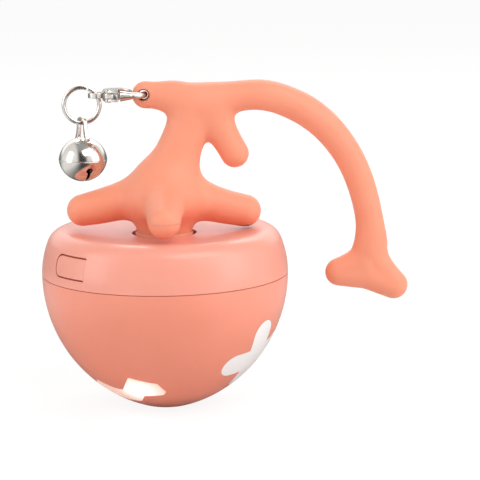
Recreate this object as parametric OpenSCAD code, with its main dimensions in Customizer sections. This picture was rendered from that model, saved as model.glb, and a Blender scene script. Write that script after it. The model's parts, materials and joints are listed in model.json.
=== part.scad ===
// Self-rolling cat ball with a soft branch topper and a bell.
// Origin: centre of the flat foot. +Z is up, -Y is the front, millimetres.

/* [Ball] */
// Largest diameter of the ball, at the seam
ball_d = 70; // [66:1:76]
// Radius of the bowl's side curve
bowl_arc_r = 40; // [38:0.5:43]
// Diameter of the flat foot
foot_d = 15; // [12:0.5:18]
// Wall thickness of both shells
wall = 2; // [1.6:0.1:2.4]
// Height of the band, from the seam to the crest of the rim
band_h = 12.8; // [12:0.2:14]
// Radius of the band's side curve
band_arc_r = 25.6; // [23:0.2:30]
// Radius of the rounded rim
rim_r = 5; // [4:0.25:6]
// Depth of the dish below the crest of the rim
dish_depth = 1.5; // [1:0.1:2]
// Height of the shadow gap at the seam
seam_gap = 0.22; // [0.16:0.02:0.4]
// Depth of the shadow gap at the seam
seam_depth = 0.8; // [0.6:0.1:1]
// Height of the bowl's tongue above the seam
tongue_h = 2; // [1.5:0.1:2.4]
// Thickness of the bowl's tongue
tongue_t = 1.3; // [1:0.1:1.6]

/* [Windows] */
// Reach of a high window's petals from its centre
high_reach = 12.6; // [11:0.2:13]
// Radius of a high window's petals
high_petal_r = 4.1; // [3.8:0.1:4.6]
// Size of the low windows against the one that was measured
low_scale = 1; // [0.9:0.01:1.04]
// Radius of a low window's corners
low_corner = 0.7; // [0.4:0.1:0.9]
// Height of the high windows' centres
high_z = 15.9; // [15:0.1:17]
// Height of the low windows' centres
low_z = 8.3; // [8:0.1:8.8]
// Gap round each window
window_gap = 0.08; // [0.04:0.01:0.2]

/* [Button] */
// Length of the button's tongue
button_w = 12.2; // [11:0.1:13]
// Height of the button's tongue
button_h = 5.5; // [5:0.1:6]
// Width of the slot round the button
button_slot = 0.45; // [0.3:0.05:0.6]
// Height of the button's middle above the seam
button_rise = 5.8; // [5.4:0.1:6.2]

/* [Topper] */
// Diameter of the dish's hole and the socket below it
socket_d = 18.4; // [17.6:0.1:19.2]
// Depth of the socket
socket_depth = 9.5; // [8:0.1:9.8]
// Diameter of the topper's neck
neck_d = 16.4; // [15.6:0.1:16.8]
// Radial clearance of the plug's ribs in the socket
plug_clearance = 0.06; // [0.03:0.01:0.1]
// Diameter of the eyelet's bore
eyelet_d = 3.4; // [3.2:0.1:3.6]
// Softness of the blends between limbs
blend = 2; // [1.7:0.1:2.3]
// Edge length of the topper's skin
skin_step = 2.2; // [2:0.1:3]

/* [Drive] */
// Gear module
gear_m = 0.6; // [0.55:0.01:0.62]
// Teeth of the output gear
output_teeth = 40; // [38:1:41]
// Teeth of the idler's pinion
idler_pinion_teeth = 12; // [11:1:13]
// Teeth of the idler's wheel
idler_wheel_teeth = 36; // [34:1:37]
// Teeth of the motor pinion
motor_teeth = 10; // [9:1:11]
// Face width of each gear
gear_t = 3.2; // [2.6:0.1:3.4]
// Diameter of the output shaft
shaft_d = 3; // [2.5:0.1:3.4]
// Diameter of the idler pin
pin_d = 2; // [1.6:0.1:2.4]
// Radial running clearance of shafts and pins
run = 0.05; // [0.03:0.01:0.08]
// Radius of the eccentric weight
weight_r = 17; // [15:0.2:17.6]
// Share of the drive's free height that the eccentric weight takes
weight_share = 0.38; // [0.34:0.01:0.4]
// Diameter of the motor can
motor_d = 12.2; // [11.4:0.1:12.8]
// Length of the motor can
motor_len = 13; // [11:0.2:13.4]
// Thickness of the drive frame's deck
deck_t = 2; // [1.6:0.1:2.2]
// Thickness of the gear bridge
bridge_t = 1.6; // [1.4:0.1:2]
// Diameter of the counterweight
counter_d = 18; // [14:0.5:19]
// Share of the drive's free height that the counterweight takes
counter_share = 0.326; // [0.28:0.002:0.34]

/* [Electronics] */
// Length of the battery cell
battery_l = 30; // [26:0.5:32]
// Width of the battery cell
battery_w = 20; // [18:0.5:21]
// Clearance between the battery cell and the socket's floor
battery_room = 1.2; // [1:0.1:1.6]
// Thickness of the foam pad below the battery
pad_t = 1; // [0.6:0.1:1.2]
// Thickness of the circuit boards
board_t = 1.2; // [1:0.1:1.4]
// Outer radius of the main board
board_r = 27.5; // [26.5:0.1:28]

/* [Clasp] */
// Distance from the clasp's eye to its hook's bend
clasp_l = 13.5; // [13.2:0.1:13.8]
// Thickness of the clasp's body
clasp_t = 3.1; // [2.8:0.1:3.4]
// Diameter of the hook's wire
hook_d = 1.8; // [1.6:0.1:1.9]
// Radius of the hook's bend, at the middle of its wire
hook_r = 3.7; // [3.6:0.1:3.9]
// Thickness of the clasp's lever
lever_t = 1.5; // [1.3:0.1:1.6]
// Clearance on each side of the lever
lever_gap = 0.1; // [0.06:0.02:0.16]

/* [Ring] */
// Radius of the split ring, at the middle of its wire
ring_r = 5; // [4.7:0.1:5.2]
// Diameter of the split ring's wire
ring_wire = 1.24; // [1.1:0.02:1.3]
// Angle that is open at the ring's joint
ring_gap = 5; // [3:0.5:8]

/* [Bell] */
// Outer diameter of the bell
bell_d = 13.7; // [13:0.1:14]
// Height of the bell against its diameter
bell_flat = 0.91; // [0.88:0.01:0.94]
// Wall thickness of the bell
bell_wall = 0.5; // [0.4:0.05:0.6]
// Diameter of the pellet
pellet_d = 3.8; // [3.2:0.1:4]
// Width of the bell's slit
slit_w = 0.9; // [0.7:0.1:1.2]
// Distance from the ring's wire to the bell's middle
bell_drop = 10.3; // [10.1:0.1:10.6]

/* [Hidden] */
$fn = 96;
touch = 0.01;

// Shell heights and curves
ball_r = ball_d / 2;
bowl_cx = ball_r - bowl_arc_r;
seam_z = sqrt(pow(bowl_arc_r, 2) - pow(foot_d / 2 - bowl_cx, 2));
crest_z = seam_z + band_h;
hole_z = crest_z - dish_depth;
socket_r = socket_d / 2;
band_cx = ball_r - band_arc_r;
rim_angle = asin((band_h - rim_r) / (band_arc_r - rim_r));
rim_cx = band_cx + (band_arc_r - rim_r) * cos(rim_angle);
rim_cz = crest_z - rim_r;

// The dish is an arc that meets the rim's arc without a corner and passes through the hole's edge
dish_m = rim_r - dish_depth;
dish_k = pow(rim_cx, 2) - pow(socket_r, 2) + pow(dish_m, 2) - pow(rim_r, 2);
dish_w = pow(rim_r, 2) - pow(dish_m, 2);
dish_root = pow(dish_k * dish_m, 2) + dish_w * (pow(dish_k, 2) - pow(2 * rim_r * socket_r, 2));
dish_q = (dish_k * dish_m + sqrt(dish_root)) / (2 * dish_w);
dish_r = sqrt(pow(socket_r, 2) + pow(dish_q, 2));
dish_cz = hole_z + dish_q;
dish_tilt = atan2(rim_cx, dish_cz - rim_cz);
hole_tilt = asin(socket_r / dish_r);

// Radii of the bowl and the band at a height, at a depth below the outer face
function bowl_radius(z, depth = 0) = bowl_cx + sqrt(pow(bowl_arc_r - depth, 2) - pow(seam_z - z, 2));
function band_radius(z, depth = 0) = band_cx + sqrt(pow(band_arc_r - depth, 2) - pow(z - seam_z, 2));
function dish_height(r) = dish_cz - sqrt(pow(dish_r, 2) - pow(r, 2));
function polar(r, a) = [r * cos(a), r * sin(a)];
function arc(c, r, a0, a1, n) = [for (i = [0:n]) c + polar(r, a0 + (a1 - a0) * i / n)];

// Compass angles, counted from +X towards +Y
high_angles = [330, 150];
low_angles = [242, 62];
button_angle = 220;
port_angle = 90;
boss_angles = [15, 105, 195, 285];
high_turn = 12;

// A low window's outline, hand-set: its two bent wings, [along the bowl, up the bowl] from its centre
low_outline = [
    [-11.4, 0.2], [-5.6, -0.7], [-2.7, -0.6], [1.8, 6.5], [5.7, 4.7], [9.2, 2.9],
    [10, -2], [8.8, -3.5], [3.1, -3.4], [0.1, -7.9], [-9.4, -9], [-13.6, -4.5]
];

// Stack of the drive, from the floor up. The gears, boards and gaps keep their heights,
// and the two weights and the battery share what is left below the socket's floor
floor_t = wall;
weight_gap = 1.2;
lamp_gap = 1;
deck_gap = 0.8;
level_gap = 0.4;
bridge_gap = 0.6;
gear_room = deck_gap + 2 * gear_t + level_gap + bridge_gap;
fixed_h = floor_t + weight_gap + lamp_gap + board_t + deck_t + gear_room + bridge_t + pad_t;
free_h = hole_z - socket_depth - wall - battery_room - fixed_h;
counter_h = counter_share * free_h;
weight_h = weight_share * free_h;
battery_t = free_h - counter_h - weight_h;
counter_top = floor_t + counter_h;
weight_z = counter_top + weight_gap;
weight_top = weight_z + weight_h;
lamp_t = 1.4;
light_board_z = weight_top + lamp_gap;
deck_z = light_board_z + board_t;
deck_top = deck_z + deck_t;
deck_r = bowl_radius(deck_z, wall) - 1.2;
level_1 = deck_top + deck_gap;
level_2 = level_1 + gear_t + level_gap;
bridge_z = level_2 + gear_t + bridge_gap;
bridge_top = bridge_z + bridge_t;
bridge_r = deck_r - 1;
battery_z = bridge_top + pad_t;
boss_d = 6;
boss_r = deck_r - boss_d / 2 - 0.4;
screw_d = 2;
screw_head_d = 3.8;
screw_head_h = 1.3;
screw_len = 6;
post_d = 5;
post_spots = [polar(deck_r - 6, 330), polar(deck_r - 2.6, 221), polar(deck_r - 6, 150)];

// Gear train
idler_at = polar(gear_m * (output_teeth + idler_pinion_teeth) / 2 + run, 90);
motor_dir = -17;
motor_at = idler_at + polar(gear_m * (idler_wheel_teeth + motor_teeth) / 2 + run, motor_dir);
motor_shaft_d = 1.5;
bush_d = 6;
bush_flange_d = 8;
bush_flange_t = 0.6;
hub_d = 9;

// Electronics
battery_dir = 221;
battery_off = battery_w / 2 + 0.6;
switch_z = seam_z + button_rise;
switch_h = 4;
board_z = switch_z - switch_h / 2 - board_t;
board_top = board_z + board_t;
board_hole_r = socket_r + wall + 1;
board_boss_r = 20;
board_boss_angles = [130, 250, 350];
board_boss_d = 5;
port_w = 9;
port_h = 3.2;
port_len = 7.4;
port_mouth = 1.2;
port_gap = 0.3;
port_z = board_top + port_h / 2;
port_y = band_radius(port_z) - port_mouth;

// Button
button_x = band_radius(switch_z, wall);
button_hinge_gap = 0.04;
button_corner = 2;
nub_d = 2.4;
nub_h = 0.35;
nub_y = -1;
press_travel = 0.5;
plunger_d = 1.8;
plunger_len = 0.8;
plunger_tip = sqrt(pow(button_x, 2) - pow(nub_y, 2)) - nub_h - press_travel;

// Topper: hand-set middle lines [x, height above the dish's hole, radius]
arm_line = [[1, 13, 4.5], [6, 11, 4.9], [11, 9.7, 5], [17, 8, 5], [23, 6.8, 4.5]];
low_arm_line = [[1, 13, 4.5], [6, 10.6, 4.9], [11, 9, 5], [17, 7.1, 4.8], [23, 5.9, 4.5]];
web_line = [[1.5, 13.5, 4.7], [7.6, 10.2, 4]];
trunk_line = [[0, 8, 5.6], [2, 14.5, 6.1], [3.8, 21.5, 6.1], [6, 28, 5.6], [9, 35.5, 4.2]];
nub_line = [[-4.7, 39.3, 3.7], [3, 39, 2.8]];
tail_line = [
    [3, 38.6, 2.8], [9, 37.8, 3.3], [17, 38.3, 3.9], [25, 38.9, 4.2], [29.5, 38.6, 4.3], [34.2, 37.2, 4.3],
    [40.8, 34, 4.4], [47.1, 28.7, 4.2], [52.7, 20.9, 4], [56.4, 11.9, 3.9], [58.6, 1.8, 3.8], [58.8, -4.5, 3.6]
];
fin_line = [
    [58.6, -4.5, 3], [56.4, -10.2, 4.5], [49.7, -12.3, 4],
    [57.6, -12.8, 4.5], [65.2, -16.3, 4], [59.2, -9.3, 3.9]
];
finger_line = [[13.6, 35.5, 3.8], [17.4, 27.6, 3.8], [20.3, 22.3, 3.9]];
neck_line = [[0, 0, neck_d / 2 - 0.9], [0, 4, neck_d / 2 - 1.4]];
nub_flat = 1.55;
fin_flat = 1.35;
eyelet_x = -5.2;
eyelet_rise = 39.4;
plug_rise = 0.6;

// Clasp, ring and bell hang in the plane y = 0
eyelet_z = hole_z + eyelet_rise;
hook_shift = 0.3;
eye_x = eyelet_x + hook_shift - clasp_l;
eye_r = 2.35;
eye_bore_r = 1.45;
eye_t = 1.4;
hook_x = clasp_l - hook_r;
nose_gap = 0.2;
mouth_w = 0.6;
rivet_d = 1;
rivet_head_d = 1.7;
rivet_head_t = 0.25;
rivet_at = [3.4, -2.9];
nose_x = 6.75;
nose_r = clasp_t / 2 - 0.05;
ring_lean = 33;
ring_x = eye_x - ring_r * cos(ring_lean);
ring_z = eyelet_z - ring_r * sin(ring_lean);
hang_angle = 270;
hang_x = ring_x + ring_r * cos(hang_angle);
hang_z = ring_z + ring_r * sin(hang_angle);
bell_r = bell_d / 2;
bell_h = bell_d * bell_flat;
cap_r = (pow(bell_r, 2) + pow(bell_h / 2, 2)) / bell_h;
cap_z = cap_r - bell_h / 2;
bell_z = hang_z - bell_drop;
bail_turn = 36;
bail_in_r = 1.3;
bail_t = 0.5;
bail_w = 1.1;
bail_foot = 2.1;
pellet_gap = 0.1;

// Shared shapes

// A pan-head screw that points down, with its head's underside at the origin
module screw(len = screw_len) {
    cylinder(d = screw_head_d, h = screw_head_h);
    translate([0, 0, -len]) cylinder(d = screw_d, h = len + touch);
}

// Places its children on a compass angle, with x pointing outwards
module at_angle(a) {
    rotate([0, 0, a]) children();
}

// A bar with round ends, as tall as it is wide at the ends
module stadium(w, h) {
    square([w - h, h], center = true);
    for (s = [-1, 1]) translate([s * (w - h) / 2, 0]) circle(d = h);
}

// A four-petal flower in the plane, from two crossed bars
module flower(reach, petal_r) {
    for (a = [0, 90]) rotate(a) stadium(2 * reach, 2 * petal_r);
}

// The bowl's section, from a depth below its outer face, above a floor
module bowl_section(depth, floor_z) {
    intersection() {
        translate([bowl_cx, seam_z]) circle(bowl_arc_r - depth, $fn = 240);
        translate([0, floor_z]) square([ball_r, seam_z - floor_z]);
    }
}

// The band's outline from the seam to the dish's hole, at a depth below its outer face
function band_path(depth) = concat(
    arc([band_cx, seam_z], band_arc_r - depth, 0, rim_angle, 8),
    arc([rim_cx, rim_cz], rim_r - depth, rim_angle + 6, 90 + dish_tilt, 12),
    arc([0, dish_cz], dish_r + depth, 270 + dish_tilt * 0.86, 270 + hole_tilt, 6)
);

// A prism through the bowl's wall, square to it at a window's centre
module window_prism(angle, z, grow) {
    tilt = asin((seam_z - z) / bowl_arc_r);
    at_angle(angle)
        translate([bowl_cx, 0, seam_z])
        rotate([0, 90 + tilt, 0])
        translate([0, 0, bowl_arc_r - 2 * wall])
        linear_extrude(4 * wall)
        if (z == high_z) rotate(180 + high_turn) flower(high_reach + grow, high_petal_r + grow);
        else low_shape(grow);
}

// The low window's outline with round corners, in the plane of its prism
module low_shape(grow) {
    offset(r = low_corner + grow, $fn = 32)
        offset(delta = -low_corner)
        polygon([for (p = low_outline) low_scale * [-p[1], p[0]]]);
}

// The button's outline, square at its hinge end
module button_outline(grow, hinge_grow) {
    w = button_w + grow + hinge_grow;
    h = button_h + 2 * grow;
    r = button_corner + grow;
    translate([-h / 2, -button_w / 2 - grow]) {
        translate([0, r]) square([h, w - r]);
        translate([r, 0]) square([h - 2 * r, r + touch]);
        for (x = [r, h - r]) translate([x, r]) circle(r);
    }
}

// The button's prism through the band, with x outwards
module button_prism(grow, hinge_grow) {
    at_angle(button_angle)
        translate([button_x - 4, 0, switch_z])
        rotate([0, 90, 0])
        linear_extrude(4 + 3 * wall)
        button_outline(grow, hinge_grow);
}

// Shells

module lower_shell() {
    pilot = screw_len - deck_t + 1;
    color("lightsalmon")
    difference() {
        union() {
            rotate_extrude($fn = 240)
            difference() {
                bowl_section(0, 0);
                bowl_section(wall, floor_t);
            }
            tongue();
            intersection() {
                for (a = boss_angles) at_angle(a) translate([boss_r, 0, floor_t])
                    cylinder(d = boss_d, h = deck_z - floor_t);
                rotate_extrude($fn = 240) bowl_section(wall / 2, floor_t);
            }
        }
        for (a = boss_angles) at_angle(a) translate([boss_r, 0, deck_z - pilot])
            cylinder(d = screw_d, h = pilot + touch);
        for (a = high_angles) window_prism(a, high_z, 0);
        for (a = low_angles) window_prism(a, low_z, 0);
    }
}

// The ring inside the seam that centres the upper shell on the bowl
module tongue() {
    out_r = band_radius(seam_z + tongue_h, wall) - 0.2;
    root_z = seam_z - 2 * tongue_h;
    rotate_extrude($fn = 240)
    polygon([
        [out_r - tongue_t, root_z + tongue_h],
        [bowl_radius(root_z, wall) + wall / 2, root_z],
        [ball_r - wall / 2, seam_z - seam_gap],
        [out_r, seam_z - seam_gap],
        [out_r, seam_z + tongue_h],
        [out_r - tongue_t, seam_z + tongue_h]
    ]);
}

// The band, rim and dish as one revolved wall
module band_wall() {
    outer = band_path(0);
    inner = band_path(wall);
    n = len(inner);
    rotate_extrude($fn = 240)
    polygon(concat(
        [[ball_r - wall, seam_z], [ball_r - seam_depth, seam_z], [ball_r - seam_depth, seam_z + seam_gap]],
        [[band_radius(seam_z + seam_gap), seam_z + seam_gap]],
        [for (p = outer) if (p[1] > seam_z + 2 * seam_gap) p],
        [for (i = [0:n - 1]) inner[n - 1 - i]]
    ));
}

module socket_cup() {
    out_r = socket_r + wall;
    rotate_extrude()
    difference() {
        translate([0, hole_z - socket_depth - wall]) square([out_r, socket_depth + wall - 0.6]);
        translate([0, hole_z - socket_depth]) square([socket_r, socket_depth]);
    }
}

module upper_shell() {
    color("lightsalmon")
    difference() {
        union() {
            band_wall();
            socket_cup();
            for (a = board_boss_angles) at_angle(a)
                translate([board_boss_r, 0, board_top])
                cylinder(d = board_boss_d, h = dish_height(board_boss_r) - wall / 2 - board_top);
        }
        for (a = board_boss_angles) at_angle(a)
            translate([board_boss_r, 0, board_top - touch])
            cylinder(d = screw_d, h = screw_len - board_t);
        button_prism(button_slot, 0);
        at_angle(port_angle)
            translate([port_y - port_len / 2, 0, port_z])
            rotate([90, 0, 90])
            linear_extrude(port_len)
            stadium(port_w + 2 * port_gap, port_h + 2 * port_gap);
    }
}

module high_windows() {
    color("whitesmoke")
    for (a = high_angles) window_insert(a, high_z);
}

module low_windows() {
    color("white")
    for (a = low_angles) window_insert(a, low_z);
}

module window_insert(angle, z) {
    intersection() {
        rotate_extrude($fn = 240)
        difference() {
            bowl_section(0, 0);
            bowl_section(wall, floor_t);
        }
        window_prism(angle, z, -window_gap);
    }
}

module power_button() {
    color("lightsalmon")
    union() {
        intersection() {
            band_wall();
            button_prism(0, -button_hinge_gap);
        }
        at_angle(button_angle)
            translate([plunger_tip + press_travel, nub_y, switch_z])
            rotate([0, 90, 0])
            cylinder(d = nub_d, h = nub_h + wall / 2);
    }
}

// Drive

module counterweight() {
    color("slategray")
    rotate_extrude()
    intersection() {
        bowl_section(wall + 0.4, floor_t);
        translate([0, floor_t]) square([counter_d / 2, counter_h]);
    }
}

module drive_frame() {
    color("dimgray")
    difference() {
        union() {
            translate([0, 0, deck_z]) cylinder(r = deck_r, h = deck_t);
            for (p = post_spots) translate([p[0], p[1], deck_z])
                cylinder(d = post_d, h = bridge_z - deck_z);
            translate([idler_at[0], idler_at[1], deck_z]) cylinder(d = pin_d * 2.4, h = deck_t + 0.5);
        }
        translate([0, 0, deck_z - touch]) cylinder(d = bush_d, h = deck_t + 1);
        translate([idler_at[0], idler_at[1], deck_z - touch]) cylinder(d = pin_d, h = deck_t + 1);
        for (a = boss_angles) at_angle(a) translate([boss_r, 0, deck_z - touch])
            cylinder(d = screw_d + 0.2, h = deck_t + 1);
        for (p = post_spots) translate([p[0], p[1], bridge_z - screw_len])
            cylinder(d = screw_d, h = screw_len + 1);
    }
}

module frame_screws() {
    color("silver")
    for (a = boss_angles) at_angle(a) translate([boss_r, 0, deck_top]) screw();
}

module gear_bridge() {
    cup_h = 3;
    cup_t = 1.2;
    color("dimgray")
    difference() {
        union() {
            translate([0, 0, bridge_z]) cylinder(r = bridge_r, h = bridge_t);
            for (p = post_spots) translate([p[0], p[1], bridge_z]) cylinder(d = post_d + 1, h = bridge_t);
            translate([motor_at[0], motor_at[1], bridge_z])
                cylinder(d = motor_d + 2 * cup_t, h = bridge_t + cup_h);
        }
        translate([motor_at[0], motor_at[1], bridge_top]) cylinder(d = motor_d + 0.1, h = cup_h + 1);
        translate([motor_at[0], motor_at[1], bridge_z - touch])
            cylinder(d = motor_shaft_d + 1, h = bridge_t + 1);
        translate([0, 0, bridge_z - touch]) cylinder(d = bush_d, h = bridge_t + 1);
        translate([idler_at[0], idler_at[1], bridge_z - touch]) cylinder(d = pin_d, h = bridge_t + 1);
        for (p = post_spots) translate([p[0], p[1], bridge_z - touch])
            cylinder(d = screw_d + 0.2, h = bridge_t + 1);
    }
}

module bridge_screws() {
    color("silver")
    for (p = post_spots) translate([p[0], p[1], bridge_top]) screw();
}

// A flanged bush, with its flange at the end that the sign points to
module bush(z, t, side) {
    rotate_extrude()
    translate([shaft_d / 2 + run, 0])
    union() {
        translate([0, z]) square([(bush_d - shaft_d) / 2 - run, t]);
        translate([0, side > 0 ? z + t : z - bush_flange_t])
            square([(bush_flange_d - shaft_d) / 2 - run, bush_flange_t]);
    }
}

module lower_bush() {
    color("goldenrod") bush(deck_z, deck_t, 1);
}

module upper_bush() {
    color("goldenrod") bush(bridge_z, bridge_t, -1);
}

module output_shaft() {
    color("silver") translate([0, 0, weight_z]) cylinder(d = shaft_d, h = bridge_top - 0.3 - weight_z);
}

module eccentric_weight() {
    color("gray")
    translate([0, 0, weight_z])
    difference() {
        union() {
            cylinder(d = hub_d, h = weight_h);
            intersection() {
                cylinder(r = weight_r, h = weight_h);
                translate([-weight_r, 0, 0]) cube([2 * weight_r, weight_r, weight_h]);
            }
        }
        translate([0, 0, -touch]) cylinder(d = shaft_d, h = weight_h + 1);
    }
}

// Spur gear with involute flanks and stub teeth
pressure = 25;
addendum = 0.8;
dedendum = 1.1;
backlash = 0.14;
flank_steps = 4;

function involute_angle(rb, r) = let (a = acos(min(1, rb / r))) tan(a) * 180 / PI - a;
function flank_angle(teeth, r) =
    let (rp = gear_m * teeth / 2, rb = rp * cos(pressure))
    90 / teeth - backlash / 4 / rp * 180 / PI
        + involute_angle(rb, rp) - involute_angle(rb, max(r, rb));
function tooth_points(teeth, turn) =
    let (
        rp = gear_m * teeth / 2,
        root = rp - dedendum * gear_m,
        tip = rp + addendum * gear_m,
        start = max(root, rp * cos(pressure)),
        radii = [for (i = [0:flank_steps]) start + (tip - start) * i / flank_steps]
    )
    concat(
        [polar(root, turn - flank_angle(teeth, start))],
        [for (r = radii) polar(r, turn - flank_angle(teeth, r))],
        [
            for (i = [0:flank_steps])
                polar(radii[flank_steps - i], turn + flank_angle(teeth, radii[flank_steps - i]))
        ],
        [polar(root, turn + flank_angle(teeth, start))]
    );

module spur(teeth, phase, t) {
    linear_extrude(t)
    polygon([for (i = [0:teeth - 1]) each tooth_points(teeth, phase + i * 360 / teeth)]);
}

module output_gear() {
    color("ivory")
    translate([0, 0, level_1])
    difference() {
        union() {
            spur(output_teeth, 90, gear_t);
            cylinder(d = hub_d, h = gear_t + level_gap / 4);
        }
        translate([0, 0, -touch]) cylinder(d = shaft_d, h = gear_t + 2);
    }
}

module idler_pin() {
    color("silver") translate([idler_at[0], idler_at[1], deck_z])
        cylinder(d = pin_d, h = bridge_top - deck_z);
}

module idler_gear() {
    color("ivory")
    translate([idler_at[0], idler_at[1], level_1])
    difference() {
        union() {
            spur(idler_pinion_teeth, 270 + 180 / idler_pinion_teeth, level_2 - level_1);
            translate([0, 0, level_2 - level_1]) spur(idler_wheel_teeth, motor_dir, gear_t);
        }
        translate([0, 0, -touch]) cylinder(d = pin_d + 2 * run, h = 3 * gear_t);
    }
}

module motor_can() {
    color("silver")
    translate([motor_at[0], motor_at[1], bridge_top])
    difference() {
        cylinder(d = motor_d, h = motor_len);
        translate([0, 0, -touch]) cylinder(d = motor_shaft_d + 2 * run, h = motor_len / 2);
    }
}

module motor_cap() {
    cap_t = 1.2;
    tab = [0.5, 1.6, 1.4];
    color("whitesmoke")
    translate([motor_at[0], motor_at[1], bridge_top + motor_len]) {
        cylinder(d = motor_d - 1.6, h = cap_t);
        for (s = [-1, 1]) translate([s * 3.4, 0, cap_t + tab[2] / 2 - touch]) cube(tab, center = true);
    }
}

module motor_shaft() {
    color("silver")
    translate([motor_at[0], motor_at[1], level_2])
    cylinder(d = motor_shaft_d, h = bridge_top + motor_len / 2 - 1 - level_2);
}

module motor_pinion() {
    color("goldenrod")
    translate([motor_at[0], motor_at[1], level_2])
    difference() {
        spur(motor_teeth, motor_dir + 180 + 180 / motor_teeth, gear_t);
        translate([0, 0, -touch]) cylinder(d = motor_shaft_d, h = gear_t + 1);
    }
}

// Electronics

module battery_place() {
    at_angle(battery_dir) translate([battery_off, 0, 0]) children();
}

module battery_pad() {
    color("dimgray")
    battery_place() translate([-battery_w / 2 + 1, -battery_l / 2 + 1, bridge_top])
        cube([battery_w - 2, battery_l - 2, pad_t]);
}

module battery_cell() {
    seam_t = 0.8;
    color("lightsteelblue")
    battery_place()
    translate([0, 0, battery_z]) {
        linear_extrude(battery_t) {
            square([battery_w, battery_l - battery_t], center = true);
            square([battery_w - battery_t, battery_l], center = true);
            for (x = [-1, 1], y = [-1, 1])
                translate([x * (battery_w - battery_t) / 2, y * (battery_l - battery_t) / 2])
                    circle(d = battery_t);
        }
        translate([-battery_w / 2 + 2, battery_l / 2 - touch, battery_t / 2 - seam_t / 2])
            cube([battery_w - 4, 2, seam_t]);
    }
}

module main_board() {
    color("darkgreen")
    difference() {
        translate([0, 0, board_z])
        linear_extrude(board_t)
        difference() {
            union() {
                circle(board_r);
                rotate(port_angle) translate([board_r / 2, -port_w / 2 - 1])
                    square([port_y - port_mouth - 1 - board_r / 2, port_w + 2]);
            }
            circle(board_hole_r);
            translate(motor_at) circle(d = motor_d + 2.4);
        }
        for (a = board_boss_angles) at_angle(a)
            translate([board_boss_r, 0, board_z - touch])
            cylinder(d = screw_d + 0.2, h = board_t + 1);
    }
}

module board_parts() {
    color("black")
    translate([0, 0, board_top]) {
        at_angle(295) translate([19, 0, 0.8]) cube([5, 6, 1.6], center = true);
        at_angle(180) translate([19, 0, 0.6]) cube([4, 4, 1.2], center = true);
        at_angle(108) translate([23.5, 0, 0.5]) cube([2, 3, 1], center = true);
        for (a = [275, 281, 315, 321]) at_angle(a) translate([24, 0, 0.4])
            cube([0.8, 1.6, 0.8], center = true);
    }
}

module board_screws() {
    color("silver")
    for (a = board_boss_angles) at_angle(a) translate([board_boss_r, 0, board_z]) mirror([0, 0, 1]) screw();
}

module usb_socket() {
    skin = 0.35;
    tongue_w = port_w - 2.4;
    tongue_tt = 0.7;
    color("silver")
    at_angle(port_angle)
    translate([port_y - port_len, 0, port_z])
    rotate([90, 0, 90])
    difference() {
        linear_extrude(port_len) stadium(port_w, port_h);
        translate([0, 0, 1.4])
        linear_extrude(port_len)
        difference() {
            stadium(port_w - 2 * skin, port_h - 2 * skin);
            square([tongue_w, tongue_tt], center = true);
        }
    }
}

module power_switch() {
    body_l = 3.6;
    body_w = 6;
    color("dimgray")
    at_angle(button_angle) {
        translate([plunger_tip - plunger_len - body_l, nub_y - body_w / 2, board_top])
            cube([body_l, body_w, switch_h]);
        translate([plunger_tip - plunger_len - touch, nub_y, switch_z])
            rotate([0, 90, 0])
            cylinder(d = plunger_d, h = plunger_len + touch);
    }
}

module light_board() {
    color("whitesmoke")
    translate([0, 0, light_board_z])
    linear_extrude(board_t)
    difference() {
        circle(bowl_radius(light_board_z, wall) - 1);
        circle(weight_r + 1);
        for (a = boss_angles) rotate(a) translate([boss_r, 0]) circle(d = boss_d + 0.8);
    }
}

module light_lamps() {
    lamp = [3.5, 5];
    color("lightyellow")
    for (a = concat(high_angles, low_angles)) at_angle(a)
        translate([weight_r + 3.4, 0, light_board_z - lamp_t / 2])
        cube([lamp[0], lamp[1], lamp_t], center = true);
}

// Topper: a smooth union of limbs, skinned on a grid

// A limb is [points, flatness], and each point is [x, y, z, radius]
function in_plane(line) = [for (q = line) [q[0], 0, hole_z + q[1], q[2]]];
function turned(line, a) = [for (q = line) [q[0] * cos(a), q[0] * sin(a), hole_z + q[1], q[2]]];
plain_limbs = concat(
    [for (a = [90:90:270]) [turned(arm_line, a), 1]],
    [for (a = [45:90:315]) [turned(web_line, a), 1]],
    [
        [in_plane(low_arm_line), 1], [in_plane(trunk_line), 1],
        [in_plane(nub_line), nub_flat], [in_plane(tail_line), 1],
        [in_plane(fin_line), fin_flat], [in_plane(finger_line), 1], [in_plane(neck_line), 1]
    ]
);
// Each limb also carries the corners of the box that holds it
limbs = [
    for (m = plain_limbs)
    concat(m, [
        [for (i = [0:2]) min([for (q = m[0]) q[i] - q[3]])],
        [for (i = [0:2]) max([for (q = m[0]) q[i] + q[3]])]
    ])
];
far = 4 * blend;

function xyz(q) = [q[0], q[1], q[2]];
function part_gap(p, a, b) =
    let (
        ab = xyz(b) - xyz(a),
        t = max(0, min(1, (p - xyz(a)) * ab / (ab * ab)))
    )
    norm(p - xyz(a) - t * ab) - a[3] - (b[3] - a[3]) * t;
function limb_gap(p, limb) =
    let (
        q = [p[0], p[1] * limb[1], p[2]],
        line = limb[0],
        away = norm([for (i = [0:2]) max(0, limb[2][i] - q[i], q[i] - limb[3][i])])
    )
    away > far ? away : min([for (i = [1:len(line) - 1]) part_gap(q, line[i - 1], line[i])]);
function skin_gap(p) =
    let (gaps = [for (limb = limbs) limb_gap(p, limb)], least = min(gaps))
    least > 4 * blend ? least : least - blend * ln(vsum([for (g = gaps) exp((least - g) / blend)]));
function vsum(v, i = 0, s = 0) = i == len(v) ? s : vsum(v, i + 1, s + v[i]);

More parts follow.
